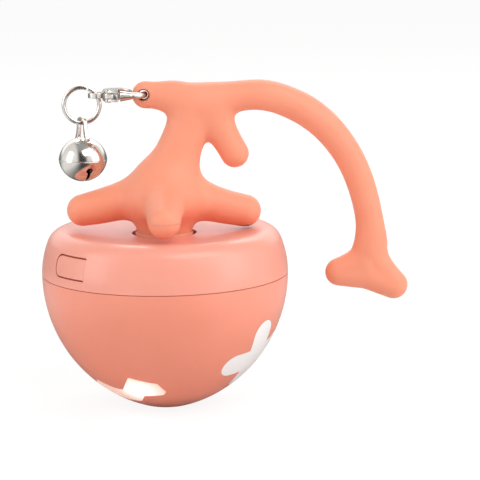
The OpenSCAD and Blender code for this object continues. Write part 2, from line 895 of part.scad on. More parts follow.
// Moves a point onto the skin along the slope of the gap
function slope(p, h = 0.02) = [
    skin_gap(p + [h, 0, 0]) - skin_gap(p - [h, 0, 0]),
    skin_gap(p + [0, h, 0]) - skin_gap(p - [0, h, 0]),
    skin_gap(p + [0, 0, h]) - skin_gap(p - [0, 0, h])
] / (2 * h);
function settle(p, n) = n == 0 ? p : let (g = slope(p)) settle(p - skin_gap(p) * g / (g * g), n - 1);

module soft_branch() {
    margin = 2 * skin_step;
    all_points = [for (limb = limbs) each limb[0]];
    low = [for (i = [0:2]) min([for (q = all_points) q[i] - q[3]]) - margin];
    high = [for (i = [0:2]) max([for (q = all_points) q[i] + q[3]]) + margin];
    count = [for (i = [0:2]) ceil((high[i] - low[i]) / skin_step)];
    ny = count[1] + 1;
    nz = count[2] + 1;
    function spot(i, j, k) = low + skin_step * [i, j, k];
    function id(i, j, k) = (i * ny + j) * nz + k;
    // A grid point that lies almost on the skin is pushed off it,
    // which keeps the skin's facets from shrinking to slivers
    keep = 0.14 * skin_step;
    function pushed(g) = abs(g) > keep ? g : g < 0 ? -keep : keep;
    raw = [for (i = [0:count[0]], j = [0:count[1]], k = [0:count[2]]) pushed(skin_gap(spot(i, j, k)))];
    // Where inside and outside points face each other across a square's diagonals,
    // the nearer outside point is taken in
    unit = [[1, 0, 0], [0, 1, 0], [0, 0, 1]];
    squares = [for (a = [0:2], s = [-1, 1], t = [-1, 1]) [s * unit[a], t * unit[(a + 1) % 3]]];
    function value(v, p) = v[id(p[0], p[1], p[2])];
    function saddles(v, p) = [
        for (q = squares)
        if (value(v, p + q[0]) < 0 && value(v, p + q[1]) < 0 && value(v, p + q[0] + q[1]) >= value(v, p)) 1
    ];
    function closed(v, p) =
        let (g = value(v, p))
        g > 0 && g < skin_step && len(saddles(v, p)) > 0 ? -keep : g;
    function mended(v, n) = n == 0 ? v : mended(
        [for (i = [0:count[0]], j = [0:count[1]], k = [0:count[2]]) closed(v, [i, j, k])], n - 1
    );
    gap = mended(raw, 2);
    corners = [for (a = [0, 1], b = [0, 1], c = [0, 1]) [a, b, c]];
    edges = [for (a = [0:7], b = [a + 1:7]) if (norm(corners[a] - corners[b]) == 1) [a, b]];
    function cell_gaps(i, j, k) = [for (c = corners) gap[id(i + c[0], j + c[1], k + c[2])]];
    function crossed(g) = min(g) < 0 && max(g) >= 0;
    flags = [
        for (i = [0:count[0]], j = [0:count[1]], k = [0:count[2]])
        i < count[0] && j < count[1] && k < count[2] && crossed(cell_gaps(i, j, k)) ? 1 : 0
    ];
    number = [for (i = 0, s = 0; i < len(flags); s = s + flags[i], i = i + 1) s];
    function cell_point(i, j, k) =
        let (
            g = cell_gaps(i, j, k),
            hits = [
                for (e = edges) let (a = g[e[0]], b = g[e[1]]) if ((a < 0) != (b < 0))
                corners[e[0]] + (corners[e[1]] - corners[e[0]]) * a / (a - b)
            ]
        )
        settle(low + skin_step * ([i, j, k] + mean(hits)), 2);
    points = [
        for (i = [0:count[0] - 1], j = [0:count[1] - 1], k = [0:count[2] - 1])
        if (flags[id(i, j, k)] == 1) cell_point(i, j, k)
    ];
    function face(a, b, c, d, flip) = let (q = flip ? [d, c, b, a] : [a, b, c, d])
        norm(points[q[0]] - points[q[2]]) < norm(points[q[1]] - points[q[3]])
            ? [[q[0], q[1], q[2]], [q[0], q[2], q[3]]]
            : [[q[0], q[1], q[3]], [q[1], q[2], q[3]]];
    function at(i, j, k) = number[id(i, j, k)];
    faces = [
        for (i = [1:count[0] - 1], j = [1:count[1] - 1], k = [1:count[2] - 1])
        let (here = gap[id(i, j, k)] < 0)
        each concat(
            here == (gap[id(i + 1, j, k)] < 0) ? []
                : face(at(i, j - 1, k - 1), at(i, j, k - 1), at(i, j, k), at(i, j - 1, k), here),
            here == (gap[id(i, j + 1, k)] < 0) ? []
                : face(at(i - 1, j, k - 1), at(i - 1, j, k), at(i, j, k), at(i, j, k - 1), here),
            here == (gap[id(i, j, k + 1)] < 0) ? []
                : face(at(i - 1, j - 1, k), at(i, j - 1, k), at(i, j, k), at(i - 1, j, k), here)
        )
    ];
    polyhedron(points, faces);
}

function mean(v) = vadd(v) / len(v);
function vadd(v, i = 0, s = [0, 0, 0]) = i == len(v) ? s : vadd(v, i + 1, s + v[i]);

module topper() {
    rib_r = socket_r - plug_clearance;
    plug_z = hole_z - socket_depth + 0.3;
    rib_h = 1.2;
    color("salmon")
    union() {
        difference() {
            soft_branch();
            translate([eyelet_x, 0, eyelet_z]) rotate([90, 0, 0])
                cylinder(d = eyelet_d, h = 20, center = true);
        }
        rotate_extrude()
        union() {
            translate([0, plug_z]) square([neck_d / 2, hole_z + plug_rise - plug_z]);
            for (z = [plug_z + 1, plug_z + 4]) translate([0, z]) square([rib_r, rib_h]);
        }
    }
}

// Clasp, in its own frame: x from the eye to the hook, y towards the back
module clasp_place() {
    translate([eye_x, 0, eyelet_z]) children();
}

module clasp_body() {
    shield_r = hook_r + hook_d / 2;
    shield_x = hook_x - 3.6;
    front_x = nose_x - mouth_w;
    back_x = hook_x + 0.2;
    half = clasp_t / 2;
    // The nose and the back arm grip the bent wire with a slight step
    collar = 0.06;
    color("silver")
    clasp_place()
    difference() {
        union() {
            intersection() {
                translate([0, 0, -half])
                linear_extrude(clasp_t)
                difference() {
                    union() {
                        intersection() {
                            translate([shield_x, 0]) circle(shield_r);
                            union() {
                                translate([0, -shield_r]) square([front_x, 2 * shield_r]);
                                square([back_x, shield_r]);
                            }
                        }
                        translate([1.6, -1.1]) square([1.6, 2.2]);
                    }
                    translate([hook_x - 1, 0]) circle(hook_r - hook_d / 2);
                }
                rotate([90, 0, 0])
                linear_extrude(4 * shield_r, center = true)
                polygon([
                    [0, -eye_t / 2], [1.3, -eye_t / 2], [2.1, -half], [nose_x, -half],
                    [back_x, -hook_d / 2 - 0.1], [back_x, hook_d / 2 + 0.1],
                    [nose_x, half], [2.1, half], [1.3, eye_t / 2], [0, eye_t / 2]
                ]);
            }
            translate([0, 0, -eye_t / 2]) cylinder(r = eye_r, h = eye_t);
            translate([hook_x - 1.5, hook_r, 0]) rotate([0, 90, 0])
                cylinder(r = hook_d / 2 + collar, h = 1.5 + 2 * collar);
            translate([hook_x, 0, 0]) rotate([0, 0, -90]) rotate_extrude(angle = 180) translate([hook_r, 0])
                circle(d = hook_d, $fn = 48);
            translate([nose_x, -hook_r, 0]) rotate([0, 90, 0])
                cylinder(r1 = nose_r, r2 = hook_d / 2 + collar, h = hook_x - nose_x + 2 * collar, $fn = 48);
        }
        translate([0, 0, -eye_t]) cylinder(r = eye_bore_r, h = 2 * eye_t);
        translate([rivet_at[0] - 1.5, -shield_r - 1, -lever_t / 2 - lever_gap])
            cube([nose_x - rivet_at[0] + 1.5 - touch, shield_r, lever_t + 2 * lever_gap]);
        translate([rivet_at[0], rivet_at[1], -clasp_t]) cylinder(d = rivet_d, h = 2 * clasp_t);
    }
}

module clasp_lever() {
    tip_x = nose_x - nose_gap;
    tab_x = tip_x - 1.35;
    tab_d = 1.3;
    tab_l = 1.6;
    eye_end = 1.1;
    half_w = 0.75;
    // The tip is cut back to the circle that it sweeps, so that it passes the nose
    sweep_r = tip_x - rivet_at[0] + nose_gap / 2;
    corner_y = -hook_r - half_w;
    corner_x = rivet_at[0] + sqrt(pow(sweep_r, 2) - pow(corner_y - rivet_at[1], 2));
    color("silver")
    clasp_place()
    difference() {
        union() {
            translate([0, 0, -lever_t / 2])
            linear_extrude(lever_t) {
                translate(rivet_at) circle(eye_end);
                polygon([
                    [rivet_at[0], rivet_at[1] + eye_end], [tip_x, -hook_r + half_w], [tip_x - 0.05, -hook_r],
                    [corner_x, corner_y], [rivet_at[0], rivet_at[1] - eye_end]
                ]);
            }
            translate([tab_x, -hook_r, 0]) rotate([90, 0, 0]) cylinder(d = tab_d, h = tab_l, $fn = 48);
        }
        translate([rivet_at[0], rivet_at[1], -lever_t]) cylinder(d = rivet_d + 2 * run, h = 2 * lever_t);
    }
}

module clasp_rivet() {
    color("gray")
    clasp_place()
    translate([rivet_at[0], rivet_at[1], 0]) {
        cylinder(d = rivet_d, h = clasp_t, center = true);
        for (s = [0, 1]) mirror([0, 0, s]) translate([0, 0, clasp_t / 2])
            cylinder(d = rivet_head_d, h = rivet_head_t);
    }
}

module split_ring() {
    joint_angle = 72;
    color("silver")
    translate([ring_x, 0, ring_z])
    rotate([90, 0, 0])
    rotate([0, 0, joint_angle])
    rotate_extrude(angle = 360 - ring_gap, $fn = 120)
    translate([ring_r, 0])
    circle(d = ring_wire, $fn = 48);
}

// Bell, around its own middle
module bell_place() {
    translate([hang_x, 0, bell_z]) children();
}

// Each half is a cap of a sphere whose middle lies a little beyond the bell's own
module half_bell(side) {
    rotate_extrude($fn = 144)
    intersection() {
        translate([0, -side * cap_z])
        difference() {
            circle(cap_r, $fn = 200);
            circle(cap_r - bell_wall, $fn = 200);
        }
        translate([0, side > 0 ? 0 : -bell_r]) square([bell_r + 1, bell_r]);
    }
}

// A strip bent over the ring's wire, whose legs spread to feet on the bell's crown
module bail() {
    out_r = bail_in_r + bail_t;
    foot_r = out_r + bail_foot;
    crown = sqrt(pow(cap_r, 2) - pow(foot_r, 2)) - cap_z - bell_wall / 2;
    rise = bell_drop - crown;
    // Distance from the middle and share of the rise, from the wire down to the crown
    outside = [[out_r, 1], [out_r + 0.1, 0.75], [out_r + 0.45, 0.45], [out_r + 1, 0.22], [foot_r, 0]];
    inside = [
        [foot_r - 1, 0], [bail_in_r + 0.45, 0.25], [bail_in_r + 0.1, 0.5],
        [bail_in_r, 0.75], [bail_in_r, 1]
    ];
    rotate([0, 0, bail_turn])
    rotate([90, 0, 90])
    linear_extrude(bail_w, center = true) {
        intersection() {
            difference() {
                translate([0, bell_drop]) circle(out_r);
                translate([0, bell_drop]) circle(bail_in_r);
            }
            translate([-out_r, bell_drop - touch]) square([2 * out_r, out_r + touch]);
        }
        for (side = [-1, 1])
            polygon([for (q = concat(outside, inside)) [side * q[0], crown + rise * q[1]]]);
    }
}

module bell_top() {
    color("silver")
    bell_place() {
        difference() {
            union() {
                half_bell(1);
                bail();
            }
            translate([0, 0, -cap_z]) sphere(cap_r - bell_wall);
        }
    }
}

module bell_bottom() {
    slit_dir = -70;
    slit_end = -24;
    hole_d = 1.9;
    color("silver")
    bell_place()
    difference() {
        half_bell(-1);
        rotate([0, 0, slit_dir]) {
            intersection() {
                translate([0, 0, -bell_r])
                    cube([2 * bell_r, slit_w, 2 * bell_r * (1 + sin(slit_end))], center = true);
                translate([0, 0, -bell_r])
                    cube([2 * bell_r * cos(slit_end), slit_w, 2 * bell_r], center = true);
            }
            for (s = [0, 1]) rotate([0, 0, 180 * s]) rotate([0, 90 - slit_end, 0])
                cylinder(d = hole_d, h = 2 * bell_r, $fn = 48);
        }
    }
}

module bell_pellet() {
    color("gray")
    bell_place()
    translate([0, 0, -bell_h / 2 + bell_wall + pellet_d / 2 + pellet_gap])
    sphere(d = pellet_d);
}

lower_shell();
upper_shell();
high_windows();
low_windows();
power_button();
counterweight();
drive_frame();
frame_screws();
gear_bridge();
bridge_screws();
lower_bush();
upper_bush();
output_shaft();
output_gear();
eccentric_weight();
idler_pin();
idler_gear();
motor_can();
motor_cap();
motor_shaft();
motor_pinion();
battery_pad();
battery_cell();
main_board();
board_parts();
board_screws();
usb_socket();
power_switch();
light_board();
light_lamps();
topper();
clasp_body();
clasp_lever();
clasp_rivet();
split_ring();
bell_top();
bell_bottom();
bell_pellet();
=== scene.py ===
import json
import math

import bmesh
import bpy
import numpy as np
from mathutils import Matrix, Vector


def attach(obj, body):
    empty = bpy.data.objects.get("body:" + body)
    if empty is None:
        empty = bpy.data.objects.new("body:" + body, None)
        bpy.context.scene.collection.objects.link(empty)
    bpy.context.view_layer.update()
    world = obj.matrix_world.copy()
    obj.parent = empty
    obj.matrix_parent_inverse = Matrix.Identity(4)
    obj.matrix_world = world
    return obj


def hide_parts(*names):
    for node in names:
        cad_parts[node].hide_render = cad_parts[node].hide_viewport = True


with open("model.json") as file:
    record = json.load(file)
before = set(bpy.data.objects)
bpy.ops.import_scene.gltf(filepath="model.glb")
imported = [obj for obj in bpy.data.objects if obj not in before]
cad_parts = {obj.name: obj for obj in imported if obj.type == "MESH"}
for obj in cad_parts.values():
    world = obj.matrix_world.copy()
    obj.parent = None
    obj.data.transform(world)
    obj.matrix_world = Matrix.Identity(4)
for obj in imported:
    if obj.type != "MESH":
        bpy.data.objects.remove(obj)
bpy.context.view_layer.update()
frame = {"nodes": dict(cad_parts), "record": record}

NODES = frame["nodes"]
MM = 0.001

# Sizes that part.scad also has, in millimetres
BOWL_ARC_R = 40
FOOT_TO_BOWL_CENTRE = 12.5
BAND_H = 12.8
DISH_DEPTH = 1.5
SEAM_Z = math.sqrt(BOWL_ARC_R**2 - FOOT_TO_BOWL_CENTRE**2)
HOLE_Z = SEAM_Z + BAND_H - DISH_DEPTH
SOCKET_D = 18.4
SOCKET_DEPTH = 9.5
NECK_D = 16.4
PLUG_CLEARANCE = 0.06
PLUG_LIFT = 0.3
PLUG_RISE = 0.6
RIB_R = SOCKET_D / 2 - PLUG_CLEARANCE
RIB_H = 1.2
RIB_PLACES = (1, 4)
RIB_EDGE = 0.3
EYELET = (-5.2, HOLE_Z + 39.4)
EYELET_D = 3.4
HOOK_SHIFT = 0.3
CLASP_L = 13.5
EYE_X = EYELET[0] + HOOK_SHIFT - CLASP_L
RING_R = 5.0
# A little thinner than the solid's wire, so that the bail swings clear of it
RING_WIRE = 1.22
# In degrees: the opening between the wire's ends, and where it starts
RING_GAP = 5
RING_JOINT = 72
RING_LEAN = math.radians(33)
RING = (EYE_X - RING_R * math.cos(RING_LEAN), EYELET[1] - RING_R * math.sin(RING_LEAN))


# Materials

class Shader:
    """A material with a Principled shader and helpers for its nodes."""

    def __init__(self, name):
        self.mat = bpy.data.materials.new(name)
        self.mat.use_nodes = True
        self.nodes = self.mat.node_tree.nodes
        self.links = self.mat.node_tree.links
        self.bsdf = self.nodes["Principled BSDF"]
        self.coord = self.nodes.new("ShaderNodeTexCoord").outputs["Object"]

    def put(self, **values):
        for key, value in values.items():
            self.bsdf.inputs[key.replace("_", " ")].default_value = value
        return self

    def node(self, kind, inputs=None, **settings):
        made = self.nodes.new(kind)
        for key, value in settings.items():
            setattr(made, key, value)
        for key, value in (inputs or {}).items():
            socket = made.inputs[key]
            if isinstance(value, bpy.types.NodeSocket):
                self.links.new(value, socket)
            else:
                socket.default_value = value
        return made

    def noise(self, scale, detail=3.0, rough=0.5, vector=None):
        made = self.node("ShaderNodeTexNoise", {"Scale": scale, "Detail": detail, "Roughness": rough})
        self.links.new(vector or self.coord, made.inputs["Vector"])
        return made.outputs["Fac"]

    def openness(self, reach):
        """How open the surface is to its surroundings: 0 in a narrow gap, 1 on a free face."""
        return self.node("ShaderNodeAmbientOcclusion", {"Distance": reach}, samples=8).outputs["AO"]

    def span(self, value, low, high, start=0.3, end=0.7):
        made = self.node("ShaderNodeMapRange", {"Value": value, "From Min": start, "From Max": end,
                                                "To Min": low, "To Max": high})
        return made.outputs["Result"]

    def mix(self, factor, first, second):
        made = self.node("ShaderNodeMix", data_type="RGBA")
        self.links.new(factor, made.inputs["Factor"])
        for socket, value in ((made.inputs[6], first), (made.inputs[7], second)):
            if isinstance(value, bpy.types.NodeSocket):
                self.links.new(value, socket)
            else:
                socket.default_value = value
        return made.outputs[2]

    def colour(self, value):
        self.links.new(value, self.bsdf.inputs["Base Color"])

    def rough(self, value):
        self.links.new(value, self.bsdf.inputs["Roughness"])

    def bump(self, height, strength, distance):
        made = self.node("ShaderNodeBump", {"Strength": strength, "Distance": distance, "Height": height})
        self.links.new(made.outputs["Normal"], self.bsdf.inputs["Normal"])


def srgb(r, g, b):
    """Linear colour with alpha from 0-255 screen values."""
    def one(v):
        v = v / 255
        return v / 12.92 if v <= 0.04045 else ((v + 0.055) / 1.055) ** 2.4
    return (one(r), one(g), one(b), 1.0)


def moulded(name, colour, shade, rough=0.45, grain=2600, depth=0.00002, strength=0.25):
    """Moulded plastic: fine spark grain, slight cloudiness of colour and of gloss."""
    s = Shader(name)
    cloud = s.noise(55, 4, 0.55)
    fine = s.noise(grain, 2, 0.6)
    s.colour(s.mix(s.span(cloud, 0, 1), colour, shade))
    s.rough(s.span(fine, rough - 0.05, rough + 0.05))
    s.bump(fine, strength, depth)
    return s


def metal(name, colour, shade, rough, grain=900, stretch=(1, 1, 1), strength=0.08):
    """Metal with fine marks, which may run one way, and slightly uneven polish."""
    s = Shader(name).put(Metallic=1.0)
    turned = s.node("ShaderNodeMapping", {"Scale": stretch})
    s.links.new(s.coord, turned.inputs["Vector"])
    marks = s.noise(grain, 4, 0.6, turned.outputs["Vector"])
    cloud = s.noise(260, 3, 0.5)
    s.colour(s.mix(s.span(cloud, 0, 1), colour, shade))
    s.rough(s.span(marks, rough * 0.75, rough * 1.3))
    s.bump(marks, strength, 0.00001)
    return s


def make_materials():
    made = {}
    made["shell"] = shell_plastic()
    made["silicone"] = silicone_rubber()
    made["window_plain"] = moulded("milky_window", srgb(249, 247, 246), srgb(246, 244, 243), rough=0.34,
                                   depth=0.00001, strength=0.05).mat
    made["window_lit"] = window_with_painted_glow()
    made["nickel"] = polished_nickel()
    made["steel"] = metal("turned_steel", srgb(178, 180, 184), srgb(158, 160, 165), rough=0.34, grain=1400,
                          stretch=(1, 1, 12), strength=0.15).mat
    made["bush_bronze"] = metal("sintered_bronze", srgb(196, 150, 88), srgb(170, 124, 68), rough=0.42,
                                grain=3200).mat
    made["pouch"] = metal("laminated_pouch", srgb(206, 210, 214), srgb(188, 192, 198), rough=0.38, grain=700,
                          stretch=(3, 1, 1), strength=0.3).mat
    made["nylon"] = moulded("natural_nylon", srgb(236, 232, 220), srgb(226, 221, 206), rough=0.5).mat
    made["frame_plastic"] = moulded("dark_frame", srgb(62, 62, 65), srgb(52, 52, 55), rough=0.5).mat
    made["foam"] = moulded("closed_foam", srgb(52, 52, 55), srgb(40, 40, 42), rough=0.9, grain=5200,
                           depth=0.0001, strength=0.8).mat
    made["chip"] = moulded("chip_resin", srgb(38, 38, 41), srgb(30, 30, 33), rough=0.55, grain=5000).mat
    lamp = moulded("lamp_lens", srgb(250, 244, 214), srgb(246, 236, 190), rough=0.22)
    lamp.put(Emission_Color=(1.0, 0.9, 0.7, 1.0), Emission_Strength=1.0)
    made["lamp"] = lamp.mat
    made["board"] = circuit_board()
    return made


def polished_nickel():
    """Bright plated metal whose edges are worn round."""
    s = metal("polished_nickel", srgb(226, 222, 216), srgb(214, 209, 202), rough=0.17)
    worn = s.node("ShaderNodeBevel", {"Radius": 0.0004}, samples=6)
    s.links.new(worn.outputs["Normal"], s.nodes["Bump"].inputs["Normal"])
    return s.mat


def shell_plastic():
    """Salmon plastic with a fine grain, painted paler above the seam as a sheen from the light above; narrow
    gaps get painted warm shade and a painted warm glow.
    """
    s = Shader("shell_plastic")
    cloud = s.span(s.noise(55, 4, 0.55), 0, 1)
    fine = s.noise(2600, 2, 0.6)
    bowl = s.mix(cloud, srgb(246, 151, 126), srgb(243, 147, 121))
    # painted sheen: above the seam the colour is paler, standing in for light from above
    band_painted_paler = s.mix(cloud, srgb(243, 160, 140), srgb(240, 156, 135))
    ways = s.node("ShaderNodeSeparateXYZ", {0: s.coord})
    body = s.mix(s.span(ways.outputs["Z"], 0, 1, SEAM_Z * MM - 0.0001, SEAM_Z * MM), bowl, band_painted_paler)
    # painted shade: narrow gaps are darkened to a warm brown
    open_sky = s.openness(0.0009)
    s.colour(s.mix(s.span(open_sky, 0, 1, 0.12, 0.6), srgb(150, 70, 52), body))
    # painted glow: narrow gaps give off a warm light, standing in for light passing through the plastic
    s.put(Emission_Color=srgb(214, 84, 58))
    s.links.new(s.span(open_sky, 0.42, 0, 0.05, 0.5), s.bsdf.inputs["Emission Strength"])
    s.rough(s.span(fine, 0.34, 0.42))
    s.bump(fine, 0.16, 0.00002)
    s.put(Subsurface_Weight=0.06, Subsurface_Radius=(0.004, 0.0015, 0.001), Subsurface_Scale=0.5,
          Sheen_Weight=0.12, Sheen_Roughness=0.35, Coat_Weight=0.3, Coat_Roughness=0.22)
    return s.mat


def silicone_rubber():
    """Soft coral silicone: a dusty sheen, light that sinks in, and painted warm shade in its eyelet and other
    narrow places.
    """
    s = Shader("coral_silicone")
    cloud = s.span(s.noise(55, 4, 0.55), 0, 1)
    fine = s.noise(1900, 2, 0.6)
    body = s.mix(cloud, srgb(246, 157, 126), srgb(243, 151, 119))
    # painted shade: the eyelet and other narrow places are darkened to a warm brown
    s.colour(s.mix(s.span(s.openness(0.0022), 0, 1, 0.15, 0.5), srgb(120, 40, 26), body))
    s.rough(s.span(fine, 0.5, 0.6))
    s.bump(fine, 0.3, 0.00003)
    s.put(Subsurface_Weight=0.22, Subsurface_Radius=(0.006, 0.002, 0.001), Subsurface_Scale=0.6,
          Sheen_Weight=0.18, Sheen_Roughness=0.4)
    return s.mat


def circuit_board():
    """Solder mask with a faint maze of copper under it."""
    s = Shader("solder_mask")
    tracks = s.node("ShaderNodeTexBrick", {"Scale": 300.0, "Mortar Size": 0.03, "Color1": srgb(24, 92, 52),
                                           "Color2": srgb(28, 100, 58), "Mortar": srgb(66, 128, 74)})
    s.links.new(s.coord, tracks.inputs["Vector"])
    s.colour(tracks.outputs["Color"])
    s.rough(s.span(s.noise(900), 0.28, 0.4))
    s.bump(tracks.outputs["Fac"], 0.2, 0.00003)
    return s.mat


# Centres of the painted glow on the lit windows, where the lamps sit behind them, in millimetres
PAINTED_GLOW_CENTRES = ((-8.0, -20.3, 8.0), (8.0, 20.3, 8.0))


def window_with_painted_glow():
    """Milky window that glows though it is no lamp, as painted light from the lamp behind it: hottest at its
    middle, where its colour is also painted paler.
    """
    s = Shader("window_with_painted_glow")
    near = None
    for centre in PAINTED_GLOW_CENTRES:
        away = s.node("ShaderNodeVectorMath", operation="DISTANCE")
        s.links.new(s.coord, away.inputs[0])
        away.inputs[1].default_value = [c * MM for c in centre]
        out = away.outputs["Value"]
        if near is not None:
            out = s.node("ShaderNodeMath", {0: near, 1: out}, operation="MINIMUM").outputs[0]
        near = out
    glow = s.span(near, 1.0, 0.0, 0.0015, 0.008)
    # painted light: the colour is paler near the lamp centres and darker away from them
    s.colour(s.mix(glow, srgb(186, 146, 134), srgb(222, 200, 192)))
    # painted glow: the window gives off light, strongest near the lamp centres
    tint = s.mix(glow, srgb(255, 220, 203), srgb(255, 250, 246))
    s.links.new(tint, s.bsdf.inputs["Emission Color"])
    s.links.new(s.span(glow, 0.62, 1.0, 0.0, 1.0), s.bsdf.inputs["Emission Strength"])
    s.rough(s.span(s.noise(1500), 0.22, 0.32))
    return s.mat


def dress(obj, mat):
    obj.data.materials.clear()
    obj.data.materials.append(mat)


# Meshes

def new_object(name, verts, faces):
    mesh = bpy.data.meshes.new(name)
    mesh.from_pydata([tuple(v) for v in verts], [], [tuple(f) for f in faces])
    mesh.update()
    mesh.polygons.foreach_set("use_smooth", [True] * len(mesh.polygons))
    obj = bpy.data.objects.new(name, mesh)
    bpy.context.scene.collection.objects.link(obj)
    return obj


def revolve(profile, steps):
    """Vertices and faces of an open profile [(r, z), ...] turned about Z."""
    n = len(profile)
    verts = []
    for i in range(steps):
        a = 2 * math.pi * i / steps
        verts += [(r * math.cos(a), r * math.sin(a), z) for r, z in profile]
    faces = []
    for i in range(steps):
        j = (i + 1) % steps
        for k in range(n - 1):
            faces.append((i * n + k, j * n + k, j * n + k + 1, i * n + k + 1))
    return verts, faces


def weld(obj, distance=1e-7):
    bm = bmesh.new()
    bm.from_mesh(obj.data)
    bmesh.ops.remove_doubles(bm, verts=bm.verts, dist=distance)
    bmesh.ops.dissolve_degenerate(bm, edges=bm.edges, dist=distance)
    bmesh.ops.recalc_face_normals(bm, faces=bm.faces)
    bm.to_mesh(obj.data)
    bm.free()


def sharp_edges(obj, degrees):
    """Smooth shading that stops at edges sharper than the angle."""
    obj.data.polygons.foreach_set("use_smooth", [True] * len(obj.data.polygons))
    obj.data.set_sharp_from_angle(angle=math.radians(degrees))


# Topper: the same limbs as in part.scad, [x, height above the hole, radius]

ARM = [(1, 13, 4.5), (6, 11, 4.9), (11, 9.7, 5), (17, 8, 5), (23, 6.8, 4.5)]
LOW_ARM = [(1, 13, 4.5), (6, 10.6, 4.9), (11, 9, 5), (17, 7.1, 4.8), (23, 5.9, 4.5)]
WEB = [(1.5, 13.5, 4.7), (7.6, 10.2, 4)]
TRUNK = [(0, 8, 5.6), (2, 14.5, 6.1), (3.8, 21.5, 6.1), (6, 28, 5.6), (9, 35.5, 4.2)]
NUB = [(-4.7, 39.3, 3.7), (3, 39, 2.8)]
TAIL = [(3, 38.6, 2.8), (9, 37.8, 3.3), (17, 38.3, 3.9), (25, 38.9, 4.2), (29.5, 38.6, 4.3),
        (34.2, 37.2, 4.3), (40.8, 34, 4.4), (47.1, 28.7, 4.2), (52.7, 20.9, 4), (56.4, 11.9, 3.9),
        (58.6, 1.8, 3.8), (58.8, -4.5, 3.6)]
FIN = [(58.6, -4.5, 3), (56.4, -10.2, 4.5), (49.7, -12.3, 4), (57.6, -12.8, 4.5), (65.2, -16.3, 4),
       (59.2, -9.3, 3.9)]
FINGER = [(13.6, 35.5, 3.8), (17.4, 27.6, 3.8), (20.3, 22.3, 3.9)]
NECK = [(0, 0, NECK_D / 2 - 0.9), (0, 4, NECK_D / 2 - 1.4)]
# How much thinner front to back the nub and the fin are, and how softly limbs flow together
NUB_FLAT = 1.55
FIN_FLAT = 1.35
BLEND = 2.0


def limb(line, turn=0.0, flat=1.0):
    c, s = math.cos(turn), math.sin(turn)
    return np.array([(x * c, x * s, HOLE_Z + z, r) for x, z, r in line]), flat


def topper_limbs():
    quarter = math.pi / 2
    limbs = [limb(ARM, k * quarter) for k in (1, 2, 3)]
    limbs += [limb(WEB, (k + 0.5) * quarter) for k in range(4)]
    limbs += [limb(LOW_ARM), limb(TRUNK), limb(NUB, flat=NUB_FLAT), limb(TAIL)]
    return limbs + [limb(FIN, flat=FIN_FLAT), limb(FINGER), limb(NECK)]


def rounded(line, passes=2):
    """Rounds a limb's bends by cutting its corners, ends kept."""
    for _ in range(passes):
        inner = [p for a, b in zip(line[:-1], line[1:]) for p in (0.75 * a + 0.25 * b, 0.25 * a + 0.75 * b)]
        line = np.array([line[0]] + inner[1:-1] + [line[-1]])
    return line


def limb_gap(points, line, flat):
    """How far points lie from one limb of changing thickness."""
    q = points * np.array([1.0, flat, 1.0])
    best = np.full(len(q), 1e9)
    for a, b in zip(line[:-1], line[1:]):
        ab = b[:3] - a[:3]
        t = np.clip((q - a[:3]) @ ab / (ab @ ab), 0, 1)
        away = np.linalg.norm(q - a[:3] - t[:, None] * ab, axis=1)
        best = np.minimum(best, away - a[3] - (b[3] - a[3]) * t)
    return best


def skin_gap(points, limbs, reach=14.0):
    """Smooth union of the limbs: negative inside."""
    total = np.zeros(len(points))
    for line, flat in limbs:
        low = (line[:, :3] - line[:, 3:]).min(0) - reach
        high = (line[:, :3] + line[:, 3:]).max(0) + reach
        near = ((points > low) & (points < high)).all(1)
        total[near] += np.exp(-np.clip(limb_gap(points[near], line, flat), -40, 40) / BLEND)
    return -BLEND * np.log(np.maximum(total, 1e-12))


def surface_net(values, low, step):
    """Vertices and quads where the grid's values change sign."""
    inside = values < 0
    shape = np.array(values.shape) - 1
    total = np.zeros((*shape, 3))
    count = np.zeros(shape)
    grid = np.stack(np.meshgrid(*[np.arange(s) for s in shape], indexing="ij"), -1).astype(float)

    def corner(array, c):
        return array[c[0]:c[0] + shape[0], c[1]:c[1] + shape[1], c[2]:c[2] + shape[2]]

    corners = [(a, b, c) for a in (0, 1) for b in (0, 1) for c in (0, 1)]
    for p in corners:
        for axis in range(3):
            if p[axis]:
                continue
            q = tuple(1 if i == axis else p[i] for i in range(3))
            a, b = corner(values, p), corner(values, q)
            hit = corner(inside, p) != corner(inside, q)
            t = np.where(hit, a / np.where(hit, a - b, 1), 0)
            spot = np.array(p, float) + t[..., None] * (np.array(q) - np.array(p))
            total += np.where(hit[..., None], spot, 0)
            count += hit
    used = count > 0
    number = -np.ones(shape, int)
    number[used] = np.arange(used.sum())
    verts = low + step * (grid[used] + total[used] / count[used][:, None])
    quads = []
    for axis in range(3):
        u, v = (axis + 1) % 3, (axis + 2) % 3
        first = np.take(inside, range(values.shape[axis] - 1), axis)
        second = np.take(inside, range(1, values.shape[axis]), axis)
        for here in (True, False):
            cells = np.argwhere((first != second) & (first == here))
            across, along = cells[:, u], cells[:, v]
            cells = cells[(across > 0) & (along > 0) & (across < shape[u]) & (along < shape[v])]
            ring = []
            for du, dv in ((1, 1), (0, 1), (0, 0), (1, 0)):
                c = cells.copy()
                c[:, u] -= du
                c[:, v] -= dv
                ring.append(number[c[:, 0], c[:, 1], c[:, 2]])
            quads.append(np.stack(ring if here else ring[::-1], 1))
    return verts, np.concatenate(quads)


def open_diagonals(values, keep):
    """Takes in the nearer outside point where a grid square has only its diagonals alike."""
    for _ in range(2):
        inside = values < 0
        change = np.zeros(values.shape, bool)
        for a in range(3):
            b = (a + 1) % 3
            for s in (-1, 1):
                for t in (-1, 1):
                    side, other = np.roll(inside, -s, a), np.roll(inside, -t, b)
                    across = np.roll(np.roll(values, -s, a), -t, b)
                    change |= ~inside & side & other & (across >= values) & (values < 4 * keep)
        values = np.where(change, -keep, values)
    return values


def smooth_limbs():
    return [(rounded(line) if len(line) > 2 and flat == 1 else line, flat) for line, flat in topper_limbs()]


